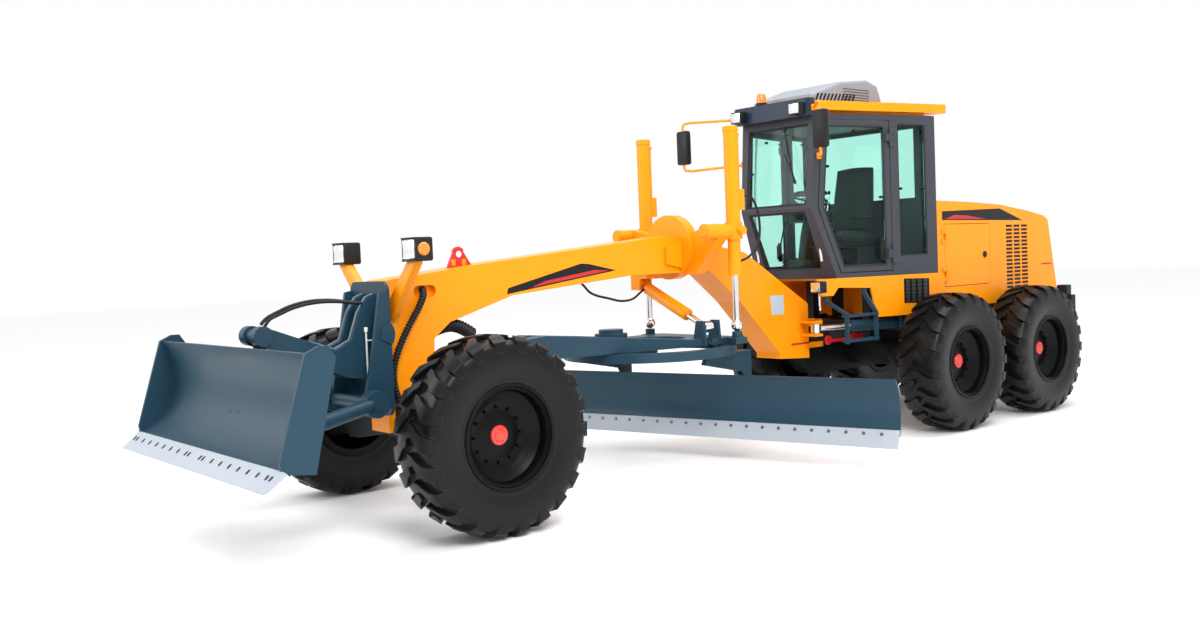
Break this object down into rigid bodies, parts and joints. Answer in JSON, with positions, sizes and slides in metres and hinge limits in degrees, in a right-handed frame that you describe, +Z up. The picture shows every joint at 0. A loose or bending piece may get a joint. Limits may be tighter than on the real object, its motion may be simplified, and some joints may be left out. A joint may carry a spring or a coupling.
{
  "type": "motor grader",
  "caption": "Articulated motor grader with a turning, side-shifting blade under an arched front frame, a front dozer blade, tandem rear wheels and an enclosed cab.",
  "frame": {"origin": "on the ground, at the middle of the machine's length and width", "axes": "+X forward along the machine, +Y to the driver's left, +Z up"},
  "size_m": [10.059, 3.961, 3.49],
  "materials": {
    "tyre": "satin",
    "rim_black": "satin",
    "yellow": "gloss",
    "slate": "satin",
    "black_frame": "satin",
    "cab_grey": "satin",
    "glass": "clear",
    "visor": "satin",
    "pale_grey": "satin",
    "chrome": "polished",
    "hose": "matte",
    "seat_cloth": "matte",
    "lamp": "gloss"
  },
  "bodies": {
    "rear_body": {"rear_frame": "black_frame", "tandem_axle": "black_frame", "engine_block": "black_frame", "hood_shell": "yellow", "cab_frame": "cab_grey", "cab_windows": "glass", "cab_roof": "yellow", "cab_visor": "visor", "ac_unit": "pale_grey", "base_panels": "yellow", "steps": "slate", "seat": "seat_cloth", "controls": "black_frame", "mirrors": "visor", "lamps": "lamp"},
    "front_body": {"front_frame": "yellow", "lift_saddle": "yellow", "lift_barrel_left": "yellow", "lift_barrel_right": "yellow", "head_lamps": "yellow", "dozer_tower": "slate", "front_axle": "black_frame", "leg_hose": "hose", "dozer_hose": "hose"},
    "articulation_barrel_left": {"articulation_barrel_left": "slate"},
    "articulation_rod_left": {"articulation_rod_left": "chrome"},
    "articulation_barrel_right": {"articulation_barrel_right": "slate"},
    "articulation_rod_right": {"articulation_rod_right": "chrome"},
    "wheel_middle_left": {"tyre_middle_left": "tyre", "rim_middle_left": "rim_black"},
    "wheel_middle_right": {"tyre_middle_right": "tyre", "rim_middle_right": "rim_black"},
    "wheel_rear_left": {"tyre_rear_left": "tyre", "rim_rear_left": "rim_black"},
    "wheel_rear_right": {"tyre_rear_right": "tyre", "rim_rear_right": "rim_black"},
    "lean_bracket_left": {"lean_bracket_left": "black_frame"},
    "spindle_left": {"spindle_left": "black_frame"},
    "wheel_front_left": {"tyre_front_left": "tyre", "rim_front_left": "rim_black"},
    "lean_bracket_right": {"lean_bracket_right": "black_frame"},
    "spindle_right": {"spindle_right": "black_frame"},
    "wheel_front_right": {"tyre_front_right": "tyre", "rim_front_right": "rim_black"},
    "lean_bar": {"lean_bar": "black_frame"},
    "drawbar": {"drawbar": "slate"},
    "lift_rod_left": {"lift_rod_left": "chrome"},
    "lift_rod_right": {"lift_rod_right": "chrome"},
    "centre_shift_barrel": {"centre_shift_barrel": "yellow"},
    "centre_shift_rod": {"centre_shift_rod": "chrome"},
    "circle": {"circle": "slate"},
    "tilt_bracket": {"tilt_bracket": "slate"},
    "moldboard": {"moldboard": "slate"},
    "dozer": {"dozer_blade": "slate"},
    "dozer_barrel": {"dozer_barrel": "slate"},
    "dozer_rod": {"dozer_rod": "chrome"},
    "cab_door_left": {"cab_door_left": "cab_grey"},
    "hood_door_left": {"hood_door_left": "yellow"},
    "cab_door_right": {"cab_door_right": "cab_grey"},
    "hood_door_right": {"hood_door_right": "yellow"}
  },
  "joints": [
    {"name": "articulation", "type": "hinge", "parent": "rear_body", "child": "front_body", "pos_m": [-1.2795, 0, 0.98], "axis": [0, 0, 1], "range_deg": [-27, 27]},
    {"name": "articulation_barrel_left_swing", "type": "hinge", "parent": "rear_body", "child": "articulation_barrel_left", "pos_m": [-1.9795, 0.58, 1.05], "axis": [0, 0, 1], "range_deg": [-15, 15]},
    {"name": "articulation_rod_left_stroke", "type": "slide", "parent": "articulation_barrel_left", "child": "articulation_rod_left", "axis": [0.9623, -0.2722, 0], "range_m": [-0.26, 0.26]},
    {"name": "articulation_barrel_right_swing", "type": "hinge", "parent": "rear_body", "child": "articulation_barrel_right", "pos_m": [-1.9795, -0.58, 1.05], "axis": [0, 0, 1], "range_deg": [-15, 15]},
    {"name": "articulation_rod_right_stroke", "type": "slide", "parent": "articulation_barrel_right", "child": "articulation_rod_right", "axis": [0.9623, 0.2722, 0], "range_m": [-0.26, 0.26]},
    {"name": "wheel_middle_left_spin", "type": "hinge", "parent": "rear_body", "child": "wheel_middle_left", "pos_m": [-2.107, 1.078, 0.67], "axis": [0, 1, 0], "continuous": true},
    {"name": "wheel_middle_right_spin", "type": "hinge", "parent": "rear_body", "child": "wheel_middle_right", "pos_m": [-2.107, -1.078, 0.67], "axis": [0, 1, 0], "continuous": true},
    {"name": "wheel_rear_left_spin", "type": "hinge", "parent": "rear_body", "child": "wheel_rear_left", "pos_m": [-3.652, 1.078, 0.67], "axis": [0, 1, 0], "continuous": true},
    {"name": "wheel_rear_right_spin", "type": "hinge", "parent": "rear_body", "child": "wheel_rear_right", "pos_m": [-3.652, -1.078, 0.67], "axis": [0, 1, 0], "continuous": true},
    {"name": "wheel_lean_left", "type": "hinge", "parent": "front_body", "child": "lean_bracket_left", "pos_m": [3.4145, 0.69, 0.6], "axis": [1, 0, 0], "range_deg": [-17, 17]},
    {"name": "steering_left", "type": "hinge", "parent": "lean_bracket_left", "child": "spindle_left", "pos_m": [3.3395, 0.9, 0.67], "axis": [0, 0, 1], "range_deg": [-45, 45]},
    {"name": "wheel_front_left_spin", "type": "hinge", "parent": "spindle_left", "child": "wheel_front_left", "pos_m": [3.3395, 1.078, 0.67], "axis": [0, 1, 0], "continuous": true},
    {"name": "wheel_lean_right", "type": "hinge", "parent": "front_body", "child": "lean_bracket_right", "pos_m": [3.4145, -0.69, 0.6], "axis": [1, 0, 0], "range_deg": [-17, 17]},
    {"name": "steering_right", "type": "hinge", "parent": "lean_bracket_right", "child": "spindle_right", "pos_m": [3.3395, -0.9, 0.67], "axis": [0, 0, 1], "range_deg": [-45, 45]},
    {"name": "wheel_front_right_spin", "type": "hinge", "parent": "spindle_right", "child": "wheel_front_right", "pos_m": [3.3395, -1.078, 0.67], "axis": [0, 1, 0], "continuous": true},
    {"name": "lean_bar_shift", "type": "slide", "parent": "front_body", "child": "lean_bar", "axis": [0, 1, 0], "range_m": [-0.09, 0.09]},
    {"name": "blade_lift", "type": "hinge", "parent": "front_body", "child": "drawbar", "pos_m": [2.9345, 0, 1.046], "axis": [0, 1, 0], "range_deg": [-14, 6.5]},
    {"name": "lift_rod_left_stroke", "type": "slide", "parent": "front_body", "child": "lift_rod_left", "axis": [0, 0, 1], "range_m": [-0.7, 0.35]},
    {"name": "lift_rod_right_stroke", "type": "slide", "parent": "front_body", "child": "lift_rod_right", "axis": [0, 0, 1], "range_m": [-0.7, 0.35]},
    {"name": "centre_shift_barrel_swing", "type": "hinge", "parent": "front_body", "child": "centre_shift_barrel", "pos_m": [0.6445, -0.37, 1.555], "axis": [1, 0, 0], "range_deg": [-45, 30]},
    {"name": "centre_shift_rod_stroke", "type": "slide", "parent": "centre_shift_barrel", "child": "centre_shift_rod", "axis": [0, 0.9076, -0.4198], "range_m": [-0.3, 0.5]},
    {"name": "circle_turn", "type": "hinge", "parent": "drawbar", "child": "circle", "pos_m": [0.9205, 0, 0.945], "axis": [0, 0, 1], "range_deg": [-60, 30]},
    {"name": "blade_tilt", "type": "hinge", "parent": "circle", "child": "tilt_bracket", "pos_m": [0.38009, -0.14683, 0.33], "axis": [-0.2622, 0.965, 0], "range_deg": [-5, 40]},
    {"name": "side_shift", "type": "slide", "parent": "tilt_bracket", "child": "moldboard", "axis": [0.2622, -0.965, 0], "range_m": [-0.45, 0.45]},
    {"name": "dozer_lower", "type": "hinge", "parent": "front_body", "child": "dozer", "pos_m": [3.8055, 0, 0.87], "axis": [0, 1, 0], "range_deg": [-2, 34]},
    {"name": "dozer_barrel_swing", "type": "hinge", "parent": "front_body", "child": "dozer_barrel", "pos_m": [4.4925, 0, 1.385], "axis": [0, -1, 0], "range_deg": [-20, 20]},
    {"name": "dozer_rod_stroke", "type": "slide", "parent": "dozer_barrel", "child": "dozer_rod", "axis": [-0.0766, 0, -0.9971], "range_m": [-0.05, 0.45]},
    {"name": "cab_door_left_open", "type": "hinge", "parent": "rear_body", "child": "cab_door_left", "pos_m": [-1.7415, 0.68678, 2.3125], "axis": [0, 0, 1], "range_deg": [0, 95]},
    {"name": "hood_door_left_open", "type": "hinge", "parent": "rear_body", "child": "hood_door_left", "pos_m": [-2.5235, 0.774, 1.6985], "axis": [0, 0, -1], "range_deg": [0, 95]},
    {"name": "cab_door_right_open", "type": "hinge", "parent": "rear_body", "child": "cab_door_right", "pos_m": [-1.7415, -0.68678, 2.3125], "axis": [0, 0, -1], "range_deg": [0, 95]},
    {"name": "hood_door_right_open", "type": "hinge", "parent": "rear_body", "child": "hood_door_right", "pos_m": [-2.5235, -0.774, 1.6985], "axis": [0, 0, 1], "range_deg": [0, 95]}
  ],
  "couplings": [
    {"joint": "articulation_barrel_left_swing", "follows": "articulation", "ratio": 0.18396},
    {"joint": "articulation_rod_left_stroke", "follows": "articulation", "m_per_rad": -0.36295},
    {"joint": "articulation_barrel_right_swing", "follows": "articulation", "ratio": 0.18396},
    {"joint": "articulation_rod_right_stroke", "follows": "articulation", "m_per_rad": 0.36295},
    {"joint": "wheel_lean_right", "follows": "wheel_lean_left", "ratio": 1},
    {"joint": "steering_right", "follows": "steering_left", "ratio": 1},
    {"joint": "lean_bar_shift", "follows": "wheel_lean_left", "m_per_rad": -0.24635},
    {"joint": "lift_rod_left_stroke", "follows": "blade_lift", "m_per_rad": 2.5367},
    {"joint": "lift_rod_right_stroke", "follows": "blade_lift", "m_per_rad": 2.5367},
    {"joint": "centre_shift_barrel_swing", "follows": "blade_lift", "ratio": 1.946},
    {"joint": "centre_shift_rod_stroke", "follows": "blade_lift", "m_per_rad": -1.2656},
    {"joint": "dozer_barrel_swing", "follows": "dozer_lower", "ratio": -0.22083},
    {"joint": "dozer_rod_stroke", "follows": "dozer_lower", "m_per_rad": 0.62001}
  ]
}
